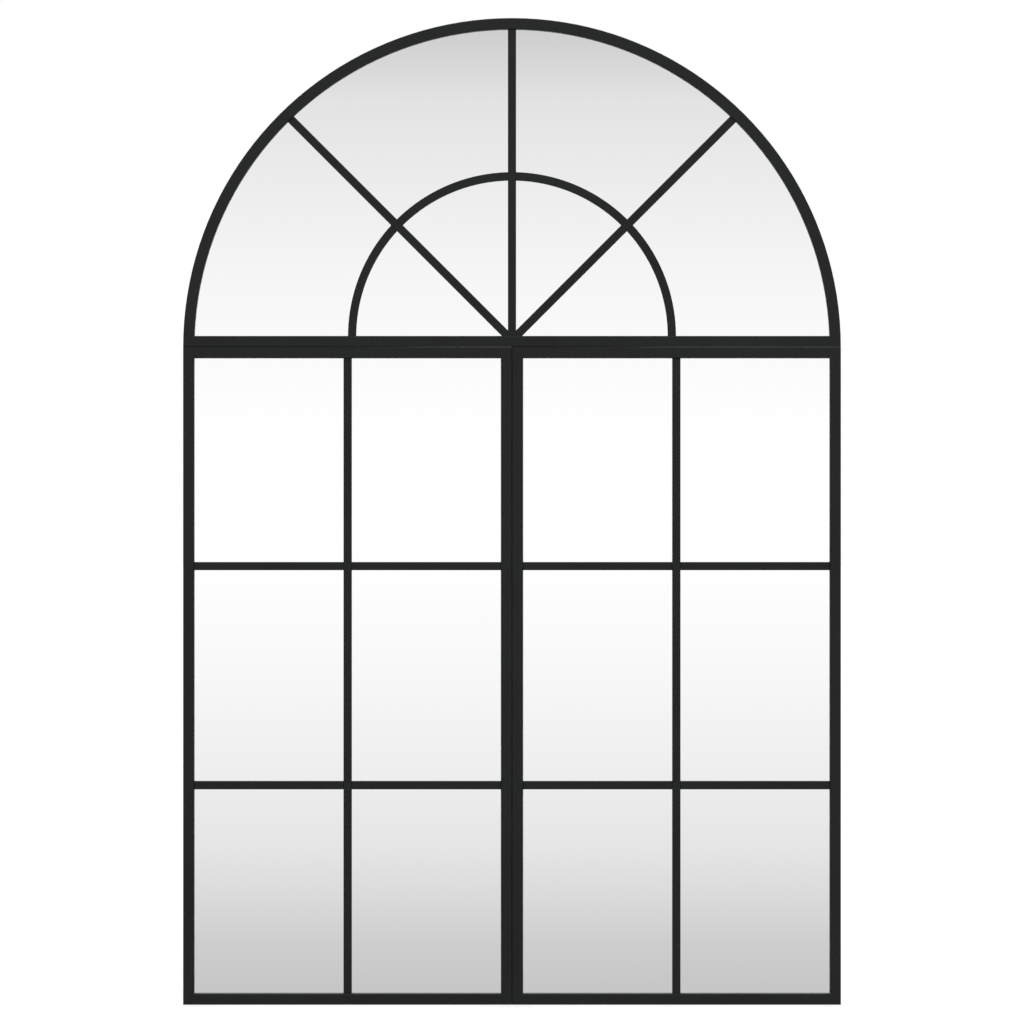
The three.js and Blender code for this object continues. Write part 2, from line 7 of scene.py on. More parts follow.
import bmesh
import bpy
from mathutils import Matrix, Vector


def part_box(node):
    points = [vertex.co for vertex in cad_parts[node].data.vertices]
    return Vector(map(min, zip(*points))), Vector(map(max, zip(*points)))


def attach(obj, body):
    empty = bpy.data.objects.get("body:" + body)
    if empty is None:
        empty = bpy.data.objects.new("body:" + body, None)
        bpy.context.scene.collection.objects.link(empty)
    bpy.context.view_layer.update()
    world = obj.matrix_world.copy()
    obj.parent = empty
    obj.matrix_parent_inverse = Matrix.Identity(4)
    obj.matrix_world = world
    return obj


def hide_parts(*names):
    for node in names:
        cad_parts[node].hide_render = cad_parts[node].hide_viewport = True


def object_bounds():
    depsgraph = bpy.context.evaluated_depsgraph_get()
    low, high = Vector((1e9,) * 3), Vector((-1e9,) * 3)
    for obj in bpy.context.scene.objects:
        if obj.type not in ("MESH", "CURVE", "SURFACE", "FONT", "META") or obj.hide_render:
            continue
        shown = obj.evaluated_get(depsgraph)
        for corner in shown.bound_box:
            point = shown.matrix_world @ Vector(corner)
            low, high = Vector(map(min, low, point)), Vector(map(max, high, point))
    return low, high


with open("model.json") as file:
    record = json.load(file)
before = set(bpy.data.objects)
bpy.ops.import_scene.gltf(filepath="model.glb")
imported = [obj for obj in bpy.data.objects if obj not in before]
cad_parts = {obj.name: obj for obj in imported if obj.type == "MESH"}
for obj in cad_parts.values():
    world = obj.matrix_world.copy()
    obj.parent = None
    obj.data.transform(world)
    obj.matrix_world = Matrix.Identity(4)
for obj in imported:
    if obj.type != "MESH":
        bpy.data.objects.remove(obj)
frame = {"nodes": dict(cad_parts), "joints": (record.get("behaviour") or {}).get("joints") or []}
parts = frame["nodes"]
cad_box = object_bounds()


# ---- Tube frames ----
# Square steel tube, 16.5 mm: the arch bent to a half circle over its rail, and two rectangles under it.
# Baked polyester powder coat makes a near-black satin skin, even in colour and faintly pebbled, like
# orange peel.


def linear(colour):
    """An sRGB hex colour as linear red, green, blue and alpha."""
    shares = [int(colour[i : i + 2], 16) / 255 for i in (1, 3, 5)]
    return [*(s / 12.92 if s <= 0.04045 else ((s + 0.055) / 1.055) ** 2.4 for s in shares), 1]


def node(tree, kind, settings=None, links=None):
    """Adds a node. Settings are its own properties, its sockets' values, or a ramp's stops, and links feed
    its sockets."""
    made = tree.nodes.new(kind)
    for key, value in (settings or {}).items():
        if key == "stops":
            ramp = made.color_ramp.elements
            ramp[0].position, ramp[0].color = value[0]
            ramp[1].position, ramp[1].color = value[-1]
            for place, colour in value[1:-1]:
                ramp.new(place).color = colour
        elif isinstance(key, str) and hasattr(made, key):
            setattr(made, key, value)
        else:
            made.inputs[key].default_value = value
    for key, source in (links or {}).items():
        tree.links.new(source, made.inputs[key])
    return made


def bare_material(name):
    """A material with an empty tree, and the object coordinates that its patterns are drawn on."""
    material = bpy.data.materials.new(name)
    material.use_nodes = True
    material.node_tree.nodes.clear()
    where = node(material.node_tree, "ShaderNodeTexCoord").outputs["Object"]
    return material, material.node_tree, where


def finish_with(material, names):
    """Gives CAD parts their finish."""
    for name in names:
        for place in parts[name].material_slots:
            place.material = material


powder_coat, tree, where = bare_material("powder_coat_charcoal_satin")
# The film's colour drifts by a shade over about 150 mm.
drift = node(tree, "ShaderNodeTexNoise", {"Scale": 1 / 0.15, "Detail": 2}, {"Vector": where})
film = node(
    tree,
    "ShaderNodeValToRGB",
    {"stops": [(0.35, linear("#151617")), (0.65, linear("#181a1b"))]},
    {"Fac": drift.outputs["Fac"]},
)
# Orange peel is about 1 mm across on the real film; it is drawn 2.5 mm so that it shows.
peel = node(tree, "ShaderNodeTexNoise", {"Scale": 1 / 0.0025, "Detail": 2}, {"Vector": where})
sheen = node(
    tree,
    "ShaderNodeMapRange",
    {"From Min": 0.3, "From Max": 0.7, "To Min": 0.54, "To Max": 0.66},
    {"Value": peel.outputs["Fac"]},
)
pebbles = node(
    tree, "ShaderNodeBump", {"Strength": 0.5, "Distance": 0.00003}, {"Height": peel.outputs["Fac"]}
)
coat = node(
    tree,
    "ShaderNodeBsdfPrincipled",
    {"IOR": 1.5, "Specular IOR Level": 0.2},
    {"Base Color": film.outputs[0], "Roughness": sheen.outputs[0], "Normal": pebbles.outputs[0]},
)
node(tree, "ShaderNodeOutputMaterial", {}, {"Surface": coat.outputs[0]})

panels = ("left_panel", "right_panel")
tubes = ["arch_bow", "arch_rail"]
for panel in panels:
    tubes += [f"{panel}_{part}" for part in ("bottom_rail", "top_rail", "outer_stile", "inner_stile")]
finish_with(powder_coat, tubes)


# ---- Glazing bars ----
# Flat steel bar, 12.4 by 4 mm, set back 2.5 mm behind the face of the tubes: a fan of three spokes and a
# half ring in the arch, an upright and four crossbars in each lower frame. Coated together with the tubes.

bars = ["fan_center_spoke", "fan_left_spoke", "fan_right_spoke"]
bars += [f"fan_ring_{side}_{end}" for side in ("left", "right") for end in ("lower", "upper")]
for panel in panels:
    bars += [f"{panel}_upright_bar"]
    bars += [f"{panel}_crossbar_{row}_{end}" for row in (1, 2) for end in ("inner", "outer")]
finish_with(powder_coat, bars)


# ---- Welds of the frames ----
# The 0.3 mm root gap of each mitre and each butted bar is run full of weld. The mitres are ground flush,
# so that a corner looks like one piece; the bar ends stay a hair below the bar's face. All under the coat.

same_place = 1e-5


def block(name, middle, size):
    """A box of a size about a middle, to start a piece from."""
    bpy.ops.object.select_all(action="DESELECT")
    bpy.ops.mesh.primitive_cube_add(size=1, location=middle)
    piece = bpy.context.object
    piece.name = piece.data.name = name
    piece.scale = size
    bpy.ops.object.transform_apply(location=True, rotation=True, scale=True)
    return piece


def choose(piece, faces=None, edges=None):
    """Opens a piece in edit mode with only the faces, or the edges, that pass a test selected."""
    if piece.mode == "EDIT":
        bpy.ops.object.mode_set(mode="OBJECT")
    bpy.ops.object.select_all(action="DESELECT")
    bpy.context.view_layer.objects.active = piece
    piece.select_set(True)
    bpy.ops.object.mode_set(mode="EDIT")
    bpy.ops.mesh.select_mode(type="FACE" if faces else "EDGE")
    bpy.ops.mesh.select_all(action="DESELECT")
    shape = bmesh.from_edit_mesh(piece.data)
    for item in shape.faces if faces else shape.edges:
        item.select_set((faces or edges)(item))
    shape.select_flush_mode()
    bmesh.update_edit_mesh(piece.data)


def crosses_gap(edge):
    """Whether an edge of a weld runs from one side of the root gap to the other."""
    return abs(edge.verts[0].co.z - edge.verts[1].co.z) > same_place


def copy_at(master, name, place):
    """A copy of a piece with its own mesh, moved by a matrix that is then applied."""
    copy = master.copy()
    copy.data = master.data.copy()
    copy.name = copy.data.name = name
    bpy.context.collection.objects.link(copy)
    copy.matrix_world = place
    bpy.ops.object.select_all(action="DESELECT")
    bpy.context.view_layer.objects.active = copy
    copy.select_set(True)
    bpy.ops.object.transform_apply(location=True, rotation=True, scale=True)
    return copy


def dress(piece, material, body):
    """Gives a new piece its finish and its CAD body."""
    piece.data.materials.clear()
    piece.data.materials.append(material)
    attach(piece, body)


def joined(pieces, name):
    """Several pieces as one."""
    bpy.ops.object.select_all(action="DESELECT")
    for piece in pieces:
        piece.select_set(True)
    bpy.context.view_layer.objects.active = pieces[0]
    bpy.ops.object.join()
    pieces[0].name = pieces[0].data.name = name
    return pieces[0]


def stiles_of(panel):
    """The boxes of a lower frame's two stiles, the left one first."""
    boxes = (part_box(f"{panel}_{part}") for part in ("outer_stile", "inner_stile"))
    return sorted(boxes, key=lambda box: box[0].x)


tube, tube_edge, root_gap, ground_away = 0.0165, 0.0008, 0.0003, 0.0003
mitre_weld = block("mitre_weld", (0, 0, 0), (tube, tube, root_gap))
choose(mitre_weld, edges=crosses_gap)
bpy.ops.mesh.bevel(offset=tube_edge, segments=3)
bpy.ops.mesh.select_all(action="SELECT")
# Stretched along the mitre. The grinder takes half of what is ground away at each of its two corners.
along_mitre = math.sqrt(2) * (1 - ground_away / tube)
bpy.ops.transform.resize(value=(along_mitre, 1, 1), center_override=(0, 0, 0))
bpy.ops.object.mode_set(mode="OBJECT")

bar_width, bar_thickness, bar_edge, below_face = 0.0124, 0.004, 0.0004, 0.0001
bar_weld = block(
    "bar_weld", (0, 0, 0), (bar_width - 2 * below_face, bar_thickness - 2 * below_face, root_gap)
)
choose(bar_weld, edges=crosses_gap)
bpy.ops.mesh.bevel(offset=bar_edge, segments=2)
bpy.ops.object.mode_set(mode="OBJECT")

tube_middle = (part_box("arch_bow")[0].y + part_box("arch_bow")[1].y) / 2
bar_middle = (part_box("fan_center_spoke")[0].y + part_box("fan_center_spoke")[1].y) / 2


def weld_at(master, x, z, angle, width=1.0):
    """A weld at a place in the plane of the frames, level at angle 0, and turned from +X towards +Z."""
    y = tube_middle if master == mitre_weld else bar_middle
    place = Matrix.Translation((x, y, z)) @ Matrix.Rotation(-math.radians(angle), 4, "Y")
    return copy_at(master, "weld", place @ Matrix.Diagonal((width, 1, 1, 1)))


for panel in panels:
    left_stile, right_stile = stiles_of(panel)
    left, right = left_stile[0].x, right_stile[1].x
    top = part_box(f"{panel}_top_rail")[1].z
    half = tube / 2
    welds = [
        weld_at(mitre_weld, left + half, half, 45),
        weld_at(mitre_weld, right - half, half, -45),
        weld_at(mitre_weld, left + half, top - half, -45),
        weld_at(mitre_weld, right - half, top - half, 45),
    ]
    bar_low, bar_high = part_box(f"{panel}_upright_bar")
    bar_x = (bar_low.x + bar_high.x) / 2
    welds.append(weld_at(bar_weld, bar_x, tube + root_gap / 2, 0))
    welds.append(weld_at(bar_weld, bar_x, top - tube - root_gap / 2, 0))
    for row in (1, 2):
        for end in ("inner", "outer"):
            low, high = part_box(f"{panel}_crossbar_{row}_{end}")
            for x in (low.x - root_gap / 2, high.x + root_gap / 2):
                welds.append(weld_at(bar_weld, x, (low.z + high.z) / 2, 90))
    piece = joined(welds, f"{panel}_welds")
    dress(piece, powder_coat, "mirror_frame")

springing, bow_outside, ring_outside = 1.0, 0.5, 0.2495
bow_inside = bow_outside - tube
rail_top = springing + tube
hub = rail_top - bar_width / 2
ring_middle = ring_outside - bar_width / 2
beside = (bar_width + root_gap) / 2
welds = [
    weld_at(bar_weld, 0, rail_top + root_gap / 2, 0),
    weld_at(bar_weld, 0, springing + bow_inside - root_gap / 2, 0),
]
for side in (-1, 1):
    welds.append(weld_at(mitre_weld, side * (bow_outside - tube / 2), springing + tube / 2, -45 * side))
    welds.append(weld_at(bar_weld, side * ring_middle, rail_top + root_gap / 2, 0))
    welds.append(weld_at(bar_weld, side * beside, rail_top + math.sqrt(ring_middle**2 - beside**2), 90))
    # Where a diagonal spoke meets the bow, along the line from the middle of the arch.
    offset = (hub - springing) / math.sqrt(2)
    reach = bow_inside - root_gap / 2
    along = math.sqrt(reach**2 - offset**2) - offset
    x, z = along / math.sqrt(2), hub + along / math.sqrt(2)
    lean = math.degrees(math.atan2(z - springing, x))
    welds.append(weld_at(bar_weld, side * x, z, side * (lean - 90)))
    # Where it meets the ring, below and above.
    offset = (rail_top - hub) / math.sqrt(2)
    for across in (-beside, beside):
        along = offset + math.sqrt(ring_middle**2 - (across - offset) ** 2)
        x, z = (along - across) / math.sqrt(2), hub + (along + across) / math.sqrt(2)
        welds.append(weld_at(bar_weld, side * x, z, side * 45))
    # Where its foot meets the centre spoke and the rail.
    foot, narrower = bar_width / math.sqrt(2), 1 / math.sqrt(2)
    welds.append(weld_at(bar_weld, side * beside, rail_top + root_gap + foot / 2, 90, narrower))
    welds.append(weld_at(bar_weld, side * (beside + foot / 2), rail_top + root_gap / 2, 0, narrower))
arch_welds = joined(welds, "arch_welds")
dress(arch_welds, powder_coat, "mirror_frame")
for master in (mitre_weld, bar_weld):
    bpy.data.objects.remove(master)


# ---- Seam strips ----
# Black foam tape, 0.3 mm thick when squeezed, stuck between the frames so that they don't rattle and no
# light shows through. Over the lower frames, two narrow tapes of pressed grey felt fill the front of the
# level seam. Their thin light line is a painted highlight of the lower frames' top edge, fading in from the
# left.

foam, tree, where = bare_material("closed_cell_foam_tape")
# Cells are about 0.2 mm; they are drawn 0.6 mm.
cells = node(tree, "ShaderNodeTexVoronoi", {"Scale": 1 / 0.0006}, {"Vector": where})
skin = node(
    tree,
    "ShaderNodeValToRGB",
    {"stops": [(0.1, linear("#0b0b0c")), (0.7, linear("#131314"))]},
    {"Fac": cells.outputs["Distance"]},
)
pores = node(
    tree, "ShaderNodeBump", {"Strength": 0.5, "Distance": 0.0001}, {"Height": cells.outputs["Distance"]}
)
tape = node(
    tree,
    "ShaderNodeBsdfPrincipled",
    {"Roughness": 0.95, "Specular IOR Level": 0.2},
    {"Base Color": skin.outputs[0], "Normal": pores.outputs[0]},
)
node(tree, "ShaderNodeOutputMaterial", {}, {"Surface": tape.outputs[0]})

felt_and_painted_highlight, tree, where = bare_material("pressed_grey_felt_painted_highlight")
# Felt's fibres are about 0.02 mm; they are drawn 0.3 by 3 mm, lying mostly along the tape.
lying = node(tree, "ShaderNodeMapping", {"Scale": (1 / 0.003, 1 / 0.0003, 1 / 0.0003)}, {"Vector": where})
fuzz = node(tree, "ShaderNodeTexNoise", {"Scale": 1, "Detail": 3}, {"Vector": lying.outputs[0]})
# Painted highlight: the felt's pale grey stands in for the light caught on the lower frames' top edge.
wool_grey_and_painted_highlight = node(
    tree,
    "ShaderNodeValToRGB",
    {"stops": [(0.3, linear("#7c7c7b")), (0.7, linear("#939391"))]},
    {"Fac": fuzz.outputs["Fac"]},
)
pressed = node(
    tree,
    "ShaderNodeBsdfPrincipled",
    {"Roughness": 1.0, "Sheen Weight": 0.3},
    {"Base Color": wool_grey_and_painted_highlight.outputs[0]},
)
node(tree, "ShaderNodeOutputMaterial", {}, {"Surface": pressed.outputs[0]})

front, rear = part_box("arch_bow")[0].y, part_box("arch_bow")[1].y
lower_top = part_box("left_panel_top_rail")[1].z
felt_width = 0.004
foam_face, felt_face, rear_face = front + 0.0009, front + 0.0002, rear - 0.0006
front_tapes_end, rear_tape_start = front + 0.001 + felt_width, front + 0.0011 + felt_width
outer_end, end_gap, half_gap, tape_edge = 0.4985, 0.001, root_gap / 2, 0.00008
strips = [
    # name, finish, left, right, bottom, top, front, rear
    ("seam_strip_upright", foam, -half_gap, half_gap, end_gap, lower_top - end_gap, foam_face, rear_face),
    ("seam_strip_level", foam, -outer_end, outer_end, lower_top, springing, rear_tape_start, rear_face),
    ("seam_strip_far_left", foam, -outer_end, -0.2855, lower_top, springing, foam_face, front_tapes_end),
    ("seam_strip_left_painted_highlight", felt_and_painted_highlight, -0.2850, -0.0005, lower_top, springing, felt_face, front_tapes_end),
    ("seam_strip_middle", foam, 0, 0.0645, lower_top, springing, foam_face, front_tapes_end),
    ("seam_strip_right_painted_highlight", felt_and_painted_highlight, 0.0650, outer_end, lower_top, springing, felt_face, front_tapes_end),
]
# The felt lies deeper at its left end and comes forward over this length, so that its painted highlight
# fades in.
slant_length, slant_depth = 0.21, 0.0018
square_on = 0.9
for name, finish, left, right, bottom, top, near, back in strips:
    middle = ((left + right) / 2, (near + back) / 2, (bottom + top) / 2)
    strip = block(name, middle, (right - left, back - near, top - bottom))
    if finish == felt_and_painted_highlight:
        left_end, front_edge = left + same_place, near + same_place
        choose(strip, faces=lambda face: True)
        bpy.ops.mesh.bisect(plane_co=(left + slant_length, 0, 0), plane_no=(1, 0, 0))
        choose(
            strip,
            edges=lambda edge: all(end.co.x < left_end and end.co.y < front_edge for end in edge.verts),
        )
        bpy.ops.transform.translate(value=(0, slant_depth, 0))
    choose(strip, faces=lambda face: abs(face.normal.y) > square_on)
    bpy.ops.mesh.bevel(offset=tape_edge, segments=2)
    bpy.ops.object.mode_set(mode="OBJECT")
    dress(strip, finish, "mirror_frame")


# ---- Mirrors ----
# Three sheets of 4 mm float glass, silvered on the back, one behind each frame, so that the panes only look
# separate. The silver is neutral and as smooth as the float bath left the glass. It is sealed behind with
# grey paint, and the cut edges are green.

silvered_glass, tree, where = bare_material("silvered_float_glass")
glass_front, glass_back = (corner.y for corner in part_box("arch_mirror"))
# What lies this near the front or the back of the sheet is on that face, and the rest is a cut edge.
on_face = 0.00005
depth = node(tree, "ShaderNodeSeparateXYZ", {}, {"Vector": where})
is_front = node(
    tree, "ShaderNodeMath", {"operation": "LESS_THAN", 1: glass_front + on_face}, {0: depth.outputs["Y"]}
)
is_back = node(
    tree, "ShaderNodeMath", {"operation": "GREATER_THAN", 1: glass_back - on_face}, {0: depth.outputs["Y"]}
)
# Faint wiping haze, some 80 mm across.
haze = node(tree, "ShaderNodeTexNoise", {"Scale": 1 / 0.08, "Detail": 3}, {"Vector": where})
smoothness = node(
    tree,
    "ShaderNodeMapRange",
    {"From Min": 0.4, "From Max": 0.8, "To Min": 0.0, "To Max": 0.012},
    {"Value": haze.outputs["Fac"]},
)
hidden = node(
    tree,
    "ShaderNodeMix",
    {"data_type": "RGBA", 6: linear("#6f8f84"), 7: linear("#777b7d")},
    {0: is_back.outputs[0]},
)
silver = node(
    tree,
    "ShaderNodeMix",
    {"data_type": "RGBA", 7: linear("#f9f9f9")},
    {0: is_front.outputs[0], 6: hidden.outputs[2]},
)
roughness = node(
    tree, "ShaderNodeMix", {2: 0.45}, {0: is_front.outputs[0], 3: smoothness.outputs[0]}
)
glass = node(
    tree,
    "ShaderNodeBsdfPrincipled",
    {},
    {"Base Color": silver.outputs[2], "Metallic": is_front.outputs[0], "Roughness": roughness.outputs[0]},
)
node(tree, "ShaderNodeOutputMaterial", {}, {"Surface": glass.outputs[0]})
finish_with(silvered_glass, ["arch_mirror", *(f"{panel}_mirror" for panel in panels)])


# ---- Glazing sealant ----
# A thin bead of clear silicone, run round each sheet of glass in the half millimetre between its edge and
# the tube, so that it can't rattle. Cured silicone is a milky, soft, half-gloss rubber; the bead's pale
# tone is also a painted reflection, carrying the mirror's brightness out to the tube.

silicone_and_painted_reflection, tree, where = bare_material("cured_silicone_painted_reflection")
# The bead was tooled with a finger, in strokes about 20 mm long.
strokes = node(tree, "ShaderNodeTexNoise", {"Scale": 1 / 0.02, "Detail": 2}, {"Vector": where})
# Painted reflection: this pale grey carries the mirror's brightness out to the tube.
milky_and_painted_reflection = node(
    tree,
    "ShaderNodeValToRGB",
    {"stops": [(0.35, linear("#d6d6d4")), (0.65, linear("#e6e6e4"))]},
    {"Fac": strokes.outputs["Fac"]},
)
tooled = node(
    tree, "ShaderNodeBump", {"Strength": 0.3, "Distance": 0.0001}, {"Height": strokes.outputs["Fac"]}
)
cured = node(
    tree,
    "ShaderNodeBsdfPrincipled",
    {"Roughness": 0.4, "IOR": 1.41},
    {"Base Color": milky_and_painted_reflection.outputs[0], "Normal": tooled.outputs[0]},
)
node(tree, "ShaderNodeOutputMaterial", {}, {"Surface": cured.outputs[0]})

bead_width, bead_setback = 0.0005, 0.0002


def bead_from(sheet, name):
    """Makes a bead of a flat sheet in the plane y = 0 that is as large as the tubes' opening."""
    choose(sheet, faces=lambda face: True)
    bpy.ops.mesh.inset(thickness=bead_width)
    bpy.ops.mesh.delete(type="FACE")
    bpy.ops.mesh.select_all(action="SELECT")
    bpy.ops.transform.translate(value=(0, glass_front + bead_setback, 0))
    back = (0, glass_back - glass_front - 2 * bead_setback, 0)
    bpy.ops.mesh.extrude_region_move(TRANSFORM_OT_translate={"value": back})
    bpy.ops.mesh.select_all(action="SELECT")
    bpy.ops.mesh.normals_make_consistent(inside=False)
    bpy.ops.object.mode_set(mode="OBJECT")
    sheet.name = sheet.data.name = name
    dress(sheet, silicone_and_painted_reflection, "mirror_frame")


for panel in panels:
    left_stile, right_stile = stiles_of(panel)
    left, right = left_stile[1].x, right_stile[0].x
    bottom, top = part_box(f"{panel}_bottom_rail")[0].z + tube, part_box(f"{panel}_top_rail")[0].z
    bpy.ops.object.select_all(action="DESELECT")
    bpy.ops.mesh.primitive_plane_add(
        size=1, location=((left + right) / 2, 0, (bottom + top) / 2), rotation=(math.pi / 2, 0, 0)
    )
    sheet = bpy.context.object
    sheet.scale = (right - left, top - bottom, 1)
    bpy.ops.object.transform_apply(location=True, rotation=True, scale=True)
    bead_from(sheet, f"{panel}_glazing_bead")

bpy.ops.object.select_all(action="DESELECT")
bpy.ops.mesh.primitive_circle_add(
    vertices=320,
    radius=bow_inside,
    fill_type="NGON",
    location=(0, 0, springing),
    rotation=(math.pi / 2, 0, 0),
)
sheet = bpy.context.object
bpy.ops.object.transform_apply(location=True, rotation=True)
choose(sheet, faces=lambda face: True)
bpy.ops.mesh.bisect(plane_co=(0, 0, rail_top), plane_no=(0, 0, 1), clear_inner=True)
bead_from(sheet, "arch_glazing_bead")


# ---- Backboards ----
# Raw medium-density fibreboard, 6 mm: steamed wood fibre pressed with resin and sanded. Light brown and
# matt, with short fibres lying every way and a few dark specks of bark.

fibreboard, tree, where = bare_material("raw_medium_density_fibreboard")
# Fibres are about 0.2 by 3 mm; they are drawn as tangled flecks of 2 and 5 mm so that they show.
fine = node(
    tree,
    "ShaderNodeTexNoise",
    {"Scale": 1 / 0.002, "Detail": 4, "Roughness": 0.7, "Distortion": 1.5},
    {"Vector": where},
)
long = node(
    tree,
    "ShaderNodeTexNoise",
    {"Scale": 1 / 0.005, "Detail": 6, "Roughness": 0.75, "Distortion": 2.5},
    {"Vector": where},
)
fibres = node(tree, "ShaderNodeMix", {0: 0.5}, {2: fine.outputs["Fac"], 3: long.outputs["Fac"]})
# The mat is felted a little unevenly, over some 120 mm.
cloud = node(tree, "ShaderNodeTexNoise", {"Scale": 1 / 0.12, "Detail": 2}, {"Vector": where})
mixed = node(tree, "ShaderNodeMix", {0: 0.12}, {2: fibres.outputs[0], 3: cloud.outputs["Fac"]})
wood_tones = [
    (0.3, linear("#785a3b")),
    (0.48, linear("#94744f")),
    (0.58, linear("#9f7f5a")),
    (0.7, linear("#b39572")),
]
board = node(tree, "ShaderNodeValToRGB", {"stops": wood_tones}, {"Fac": mixed.outputs[0]})
# A speck of bark in about every 12 mm.
bark = node(tree, "ShaderNodeTexVoronoi", {"Scale": 1 / 0.012}, {"Vector": where})
speck = node(
    tree,
    "ShaderNodeMapRange",
    {"From Min": 0.04, "From Max": 0.07, "To Min": 0.6, "To Max": 1.0},
    {"Value": bark.outputs["Distance"]},
)
specked = node(
    tree,
    "ShaderNodeMix",
    {"data_type": "RGBA", "blend_type": "MULTIPLY", 0: 1.0},
    {6: board.outputs[0], 7: speck.outputs[0]},
)
nap = node(
    tree, "ShaderNodeBump", {"Strength": 0.4, "Distance": 0.0001}, {"Height": fibres.outputs[0]}
)
sanded = node(
    tree,
    "ShaderNodeBsdfPrincipled",
    {"Roughness": 0.85, "IOR": 1.45},
    {"Base Color": specked.outputs[2], "Normal": nap.outputs[0]},
)
node(tree, "ShaderNodeOutputMaterial", {}, {"Surface": sanded.outputs[0]})
finish_with(fibreboard, ["arch_backboard", *(f"{panel}_backboard" for panel in panels)])


# ---- Joining plates ----
# Flat steel plates, 2 mm, blanked and bright zinc plated, across the seams at the back. Zinc plate is a
# bluish silver with a soft cloud in its gloss and fine rolling lines left from the sheet.

zinc_plate, tree, where = bare_material("bright_zinc_plated_steel")
# Rolling lines are about 0.1 mm apart; they are drawn 0.8 mm apart.
rolled = node(tree, "ShaderNodeMapping", {"Scale": (1 / 0.03, 1 / 0.0008, 1 / 0.0008)}, {"Vector": where})
lines = node(tree, "ShaderNodeTexNoise", {"Scale": 1, "Detail": 3}, {"Vector": rolled.outputs[0]})
# The plating's bloom is some 12 mm across.
bloom = node(tree, "ShaderNodeTexNoise", {"Scale": 1 / 0.012, "Detail": 3}, {"Vector": where})
tint = node(
    tree,
    "ShaderNodeValToRGB",
    {"stops": [(0.35, linear("#b3b8bf")), (0.65, linear("#c9ccce"))]},
    {"Fac": bloom.outputs["Fac"]},
)
gloss = node(
    tree,
    "ShaderNodeMapRange",
    {"From Min": 0.3, "From Max": 0.7, "To Min": 0.26, "To Max": 0.42},
    {"Value": bloom.outputs["Fac"]},
)
grain = node(
    tree, "ShaderNodeBump", {"Strength": 0.3, "Distance": 0.00004}, {"Height": lines.outputs["Fac"]}
)
plated = node(
    tree,
    "ShaderNodeBsdfPrincipled",
    {"Metallic": 1.0},
    {"Base Color": tint.outputs[0], "Roughness": gloss.outputs[0], "Normal": grain.outputs[0]},
)
node(tree, "ShaderNodeOutputMaterial", {}, {"Surface": plated.outputs[0]})
finish_with(zinc_plate, [f"joining_plate_{name}" for name in ("center", "left", "right", "stiles")])


# ---- Joining screws ----
# Button-head thread-forming screws, zinc plated: cold-headed, with a punched hexagon socket, and a rolled
# thread that holds in the collar pushed up inside the tube.

head_radius, head_height = 0.0044, 0.0022
shank_radius, shank_length, thread_pitch, point_length = 0.0024, 0.009, 0.001, 0.001
outline = [
    (0, head_height),
    (head_radius * 0.35, head_height * 0.985),
    (head_radius * 0.6, head_height * 0.93),
    (head_radius * 0.8, head_height * 0.8),
    (head_radius * 0.94, head_height * 0.58),
    (head_radius, head_height * 0.3),
    (head_radius, head_height * 0.06),
    (head_radius * 0.98, 0),
    (shank_radius, 0),
]
for turn in range(int((shank_length - point_length) / thread_pitch)):
    outline.append((shank_radius * 0.8, -(turn + 0.5) * thread_pitch))
    outline.append((shank_radius, -(turn + 1) * thread_pitch))
outline.append((shank_radius * 0.4, -shank_length))
outline.append((0, -shank_length))


def turned(name, outline, steps):
    """A round piece about the Y axis, spun from an outline of (radius, height) points that starts and ends
    on the axis."""
    mesh = bpy.data.meshes.new(name)
    mesh.from_pydata([(r, y, 0) for r, y in outline], [(i, i + 1) for i in range(len(outline) - 1)], [])
    piece = bpy.data.objects.new(name, mesh)
    bpy.context.collection.objects.link(piece)
    bpy.ops.object.select_all(action="DESELECT")
    bpy.context.view_layer.objects.active = piece
    piece.select_set(True)
    bpy.ops.object.mode_set(mode="EDIT")
    bpy.ops.mesh.select_all(action="SELECT")
    bpy.ops.mesh.spin(steps=steps, angle=math.tau, center=(0, 0, 0), axis=(0, 1, 0))
    bpy.ops.mesh.select_all(action="SELECT")
    bpy.ops.mesh.remove_doubles(threshold=1e-6)
    bpy.ops.mesh.normals_make_consistent(inside=False)
    bpy.ops.object.mode_set(mode="OBJECT")
    return piece


def cut_out(piece, cutter, name):
    """Takes a cutter's shape out of a piece, and then the cutter away."""
    cut = piece.modifiers.new(name, "BOOLEAN")
    cut.operation, cut.object, cut.solver = "DIFFERENCE", cutter, "EXACT"
    bpy.context.view_layer.objects.active = piece
    bpy.ops.object.modifier_apply(modifier=cut.name)
    bpy.data.objects.remove(cutter)


def shade(piece):
    """Shades a piece smooth, but for its edges of over 35 degrees."""
    bpy.ops.object.select_all(action="DESELECT")
    piece.select_set(True)
    bpy.ops.object.shade_smooth_by_angle(angle=math.radians(35))


screw = turned("screw", outline, steps=32)
socket_radius, socket_depth = 0.0017, 0.0013
bpy.ops.object.select_all(action="DESELECT")
bpy.ops.mesh.primitive_cylinder_add(
    vertices=6,
    radius=socket_radius,
    depth=2 * socket_depth,
    location=(0, head_height, 0),
    rotation=(math.pi / 2, 0, 0),
)
socket = bpy.context.object
bpy.ops.object.transform_apply(location=True, rotation=True)
# The punch leaves a shallow cone at the bottom of the socket.
cone_rim, cone_depth, cone_point = 0.0001, 0.0005, 0.1
choose(socket, faces=lambda face: face.normal.y < -square_on)
bpy.ops.mesh.inset(thickness=cone_rim)
bpy.ops.mesh.extrude_region_move(TRANSFORM_OT_translate={"value": (0, -cone_depth, 0)})
bpy.ops.transform.resize(value=(cone_point, 1, cone_point), center_override=(0, 0, 0))
bpy.ops.object.mode_set(mode="OBJECT")
cut_out(screw, socket, "hexagon_socket")
shade(screw)

